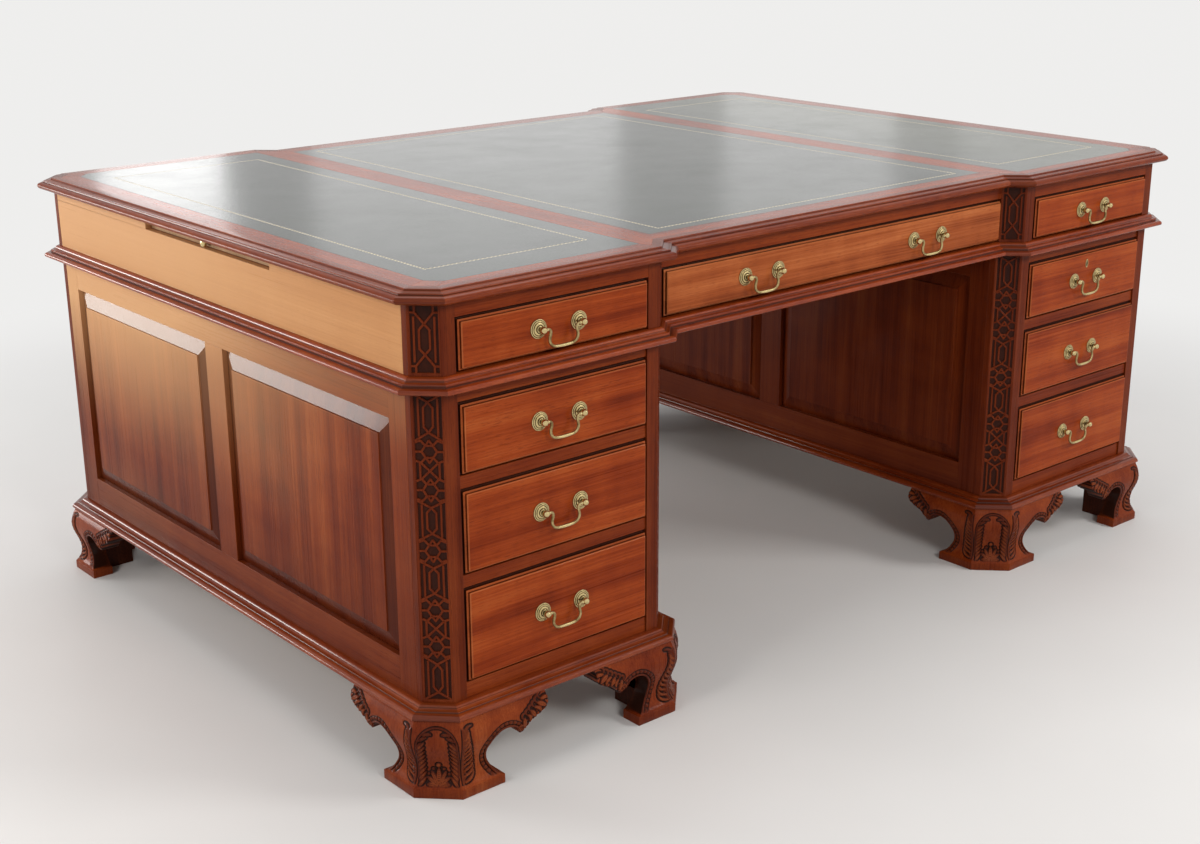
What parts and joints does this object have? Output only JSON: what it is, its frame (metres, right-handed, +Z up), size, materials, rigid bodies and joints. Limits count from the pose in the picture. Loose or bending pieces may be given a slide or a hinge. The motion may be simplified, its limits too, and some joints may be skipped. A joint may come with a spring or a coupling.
{
  "type": "pedestal desk",
  "caption": "Two-sided mahogany pedestal desk with a leather top, frieze and pedestal drawers, canted corners, pull-out slides, cupboards at the back and bracket feet.",
  "frame": {"origin": "on the floor under the middle of the top", "axes": "+Z up, +X along the desk to the right of a person who sits at the drawer side, -Y towards that person"},
  "size_m": [1.8852, 1.3012, 0.787],
  "materials": {
    "mahogany": "polished red-brown mahogany",
    "drawer_wood": "figured mahogany fronts with plain linings",
    "carved_wood": "carved, polished mahogany",
    "carcass_wood": "plain inner wood",
    "leather": "polished dark leather",
    "brass": "aged cast and turned brass"
  },
  "bodies": {
    "desk": {"top_board": "mahogany", "leather_panels": "leather", "frieze_posts": "mahogany", "pedestal_posts": "mahogany", "frieze_end_boards": "mahogany", "frieze_frame": "carcass_wood", "waist_moulding": "mahogany", "pedestal_side_frames": "mahogany", "pedestal_side_panels": "mahogany", "pedestal_rails_and_runners": "carcass_wood", "pedestal_boards": "carcass_wood", "base_mouldings": "mahogany", "bracket_feet": "carved_wood", "door_hinges": "brass"},
    "left_frieze_drawer": {"left_frieze_drawer": "drawer_wood", "left_frieze_drawer_rosettes": "brass"},
    "left_frieze_bail": {"left_frieze_bail": "brass"},
    "centre_frieze_drawer": {"centre_frieze_drawer": "drawer_wood", "centre_frieze_drawer_rosettes": "brass"},
    "centre_frieze_bail_left": {"centre_frieze_bail_left": "brass"},
    "centre_frieze_bail_right": {"centre_frieze_bail_right": "brass"},
    "right_frieze_drawer": {"right_frieze_drawer": "drawer_wood", "right_frieze_drawer_rosettes": "brass"},
    "right_frieze_bail": {"right_frieze_bail": "brass"},
    "rear_left_frieze_drawer": {"rear_left_frieze_drawer": "drawer_wood", "rear_left_frieze_drawer_rosettes": "brass"},
    "rear_left_frieze_bail": {"rear_left_frieze_bail": "brass"},
    "rear_centre_frieze_drawer": {"rear_centre_frieze_drawer": "drawer_wood", "rear_centre_frieze_drawer_rosettes": "brass"},
    "rear_centre_frieze_bail_left": {"rear_centre_frieze_bail_left": "brass"},
    "rear_centre_frieze_bail_right": {"rear_centre_frieze_bail_right": "brass"},
    "rear_right_frieze_drawer": {"rear_right_frieze_drawer": "drawer_wood", "rear_right_frieze_drawer_rosettes": "brass"},
    "rear_right_frieze_bail": {"rear_right_frieze_bail": "brass"},
    "left_top_drawer": {"left_top_drawer": "drawer_wood", "left_top_drawer_rosettes": "brass"},
    "left_top_bail": {"left_top_bail": "brass"},
    "right_top_drawer": {"right_top_drawer": "drawer_wood", "right_top_drawer_rosettes": "brass"},
    "right_top_bail": {"right_top_bail": "brass"},
    "left_middle_drawer": {"left_middle_drawer": "drawer_wood", "left_middle_drawer_rosettes": "brass"},
    "left_middle_bail": {"left_middle_bail": "brass"},
    "right_middle_drawer": {"right_middle_drawer": "drawer_wood", "right_middle_drawer_rosettes": "brass"},
    "right_middle_bail": {"right_middle_bail": "brass"},
    "left_bottom_drawer": {"left_bottom_drawer": "drawer_wood", "left_bottom_drawer_rosettes": "brass"},
    "left_bottom_bail": {"left_bottom_bail": "brass"},
    "right_bottom_drawer": {"right_bottom_drawer": "drawer_wood", "right_bottom_drawer_rosettes": "brass"},
    "right_bottom_bail": {"right_bottom_bail": "brass"},
    "left_slide": {"left_slide": "mahogany", "left_slide_knob": "brass"},
    "left_door": {"left_door": "mahogany", "left_door_fittings": "brass"},
    "right_slide": {"right_slide": "mahogany", "right_slide_knob": "brass"},
    "right_door": {"right_door": "mahogany", "right_door_fittings": "brass"}
  },
  "joints": [
    {"name": "left_frieze_drawer_slide", "type": "slide", "parent": "desk", "child": "left_frieze_drawer", "axis": [0, -1, 0], "range_m": [0, 0.42]},
    {"name": "left_frieze_bail_swing", "type": "hinge", "parent": "left_frieze_drawer", "child": "left_frieze_bail", "pos_m": [-0.6715, -0.6385, 0.7005], "axis": [-1, 0, 0], "range_deg": [-15, 120]},
    {"name": "centre_frieze_drawer_slide", "type": "slide", "parent": "desk", "child": "centre_frieze_drawer", "axis": [0, -1, 0], "range_m": [0, 0.42]},
    {"name": "centre_frieze_bail_left_swing", "type": "hinge", "parent": "centre_frieze_drawer", "child": "centre_frieze_bail_left", "pos_m": [-0.212, -0.605, 0.7005], "axis": [-1, 0, 0], "range_deg": [-15, 120]},
    {"name": "centre_frieze_bail_right_swing", "type": "hinge", "parent": "centre_frieze_drawer", "child": "centre_frieze_bail_right", "pos_m": [0.212, -0.605, 0.7005], "axis": [-1, 0, 0], "range_deg": [-15, 120]},
    {"name": "right_frieze_drawer_slide", "type": "slide", "parent": "desk", "child": "right_frieze_drawer", "axis": [0, -1, 0], "range_m": [0, 0.42]},
    {"name": "right_frieze_bail_swing", "type": "hinge", "parent": "right_frieze_drawer", "child": "right_frieze_bail", "pos_m": [0.6715, -0.6385, 0.7005], "axis": [-1, 0, 0], "range_deg": [-15, 120]},
    {"name": "rear_left_frieze_drawer_slide", "type": "slide", "parent": "desk", "child": "rear_left_frieze_drawer", "axis": [0, 1, 0], "range_m": [0, 0.42]},
    {"name": "rear_left_frieze_bail_swing", "type": "hinge", "parent": "rear_left_frieze_drawer", "child": "rear_left_frieze_bail", "pos_m": [-0.6715, 0.6385, 0.7005], "axis": [1, 0, 0], "range_deg": [-15, 120]},
    {"name": "rear_centre_frieze_drawer_slide", "type": "slide", "parent": "desk", "child": "rear_centre_frieze_drawer", "axis": [0, 1, 0], "range_m": [0, 0.42]},
    {"name": "rear_centre_frieze_bail_left_swing", "type": "hinge", "parent": "rear_centre_frieze_drawer", "child": "rear_centre_frieze_bail_left", "pos_m": [-0.212, 0.605, 0.7005], "axis": [1, 0, 0], "range_deg": [-15, 120]},
    {"name": "rear_centre_frieze_bail_right_swing", "type": "hinge", "parent": "rear_centre_frieze_drawer", "child": "rear_centre_frieze_bail_right", "pos_m": [0.212, 0.605, 0.7005], "axis": [1, 0, 0], "range_deg": [-15, 120]},
    {"name": "rear_right_frieze_drawer_slide", "type": "slide", "parent": "desk", "child": "rear_right_frieze_drawer", "axis": [0, 1, 0], "range_m": [0, 0.42]},
    {"name": "rear_right_frieze_bail_swing", "type": "hinge", "parent": "rear_right_frieze_drawer", "child": "rear_right_frieze_bail", "pos_m": [0.6715, 0.6385, 0.7005], "axis": [1, 0, 0], "range_deg": [-15, 120]},
    {"name": "left_top_drawer_slide", "type": "slide", "parent": "desk", "child": "left_top_drawer", "axis": [0, -1, 0], "range_m": [0, 0.43]},
    {"name": "left_top_bail_swing", "type": "hinge", "parent": "left_top_drawer", "child": "left_top_bail", "pos_m": [-0.67025, -0.636, 0.558], "axis": [-1, 0, 0], "range_deg": [-15, 120]},
    {"name": "right_top_drawer_slide", "type": "slide", "parent": "desk", "child": "right_top_drawer", "axis": [0, -1, 0], "range_m": [0, 0.43]},
    {"name": "right_top_bail_swing", "type": "hinge", "parent": "right_top_drawer", "child": "right_top_bail", "pos_m": [0.67025, -0.636, 0.558], "axis": [-1, 0, 0], "range_deg": [-15, 120]},
    {"name": "left_middle_drawer_slide", "type": "slide", "parent": "desk", "child": "left_middle_drawer", "axis": [0, -1, 0], "range_m": [0, 0.43]},
    {"name": "left_middle_bail_swing", "type": "hinge", "parent": "left_middle_drawer", "child": "left_middle_bail", "pos_m": [-0.67025, -0.636, 0.4135], "axis": [-1, 0, 0], "range_deg": [-15, 120]},
    {"name": "right_middle_drawer_slide", "type": "slide", "parent": "desk", "child": "right_middle_drawer", "axis": [0, -1, 0], "range_m": [0, 0.43]},
    {"name": "right_middle_bail_swing", "type": "hinge", "parent": "right_middle_drawer", "child": "right_middle_bail", "pos_m": [0.67025, -0.636, 0.4135], "axis": [-1, 0, 0], "range_deg": [-15, 120]},
    {"name": "left_bottom_drawer_slide", "type": "slide", "parent": "desk", "child": "left_bottom_drawer", "axis": [0, -1, 0], "range_m": [0, 0.43]},
    {"name": "left_bottom_bail_swing", "type": "hinge", "parent": "left_bottom_drawer", "child": "left_bottom_bail", "pos_m": [-0.67025, -0.636, 0.24825], "axis": [-1, 0, 0], "range_deg": [-15, 120]},
    {"name": "right_bottom_drawer_slide", "type": "slide", "parent": "desk", "child": "right_bottom_drawer", "axis": [0, -1, 0], "range_m": [0, 0.43]},
    {"name": "right_bottom_bail_swing", "type": "hinge", "parent": "right_bottom_drawer", "child": "right_bottom_bail", "pos_m": [0.67025, -0.636, 0.24825], "axis": [-1, 0, 0], "range_deg": [-15, 120]},
    {"name": "left_slide_pull", "type": "slide", "parent": "desk", "child": "left_slide", "axis": [-1, 0, 0], "range_m": [0, 0.28]},
    {"name": "left_door_hinge", "type": "hinge", "parent": "desk", "child": "left_door", "pos_m": [-0.8509, 0.6216, 0.3185], "axis": [0, 0, 1], "range_deg": [0, 100]},
    {"name": "right_slide_pull", "type": "slide", "parent": "desk", "child": "right_slide", "axis": [1, 0, 0], "range_m": [0, 0.28]},
    {"name": "right_door_hinge", "type": "hinge", "parent": "desk", "child": "right_door", "pos_m": [0.8509, 0.6216, 0.3185], "axis": [0, 0, -1], "range_deg": [0, 100]}
  ]
}
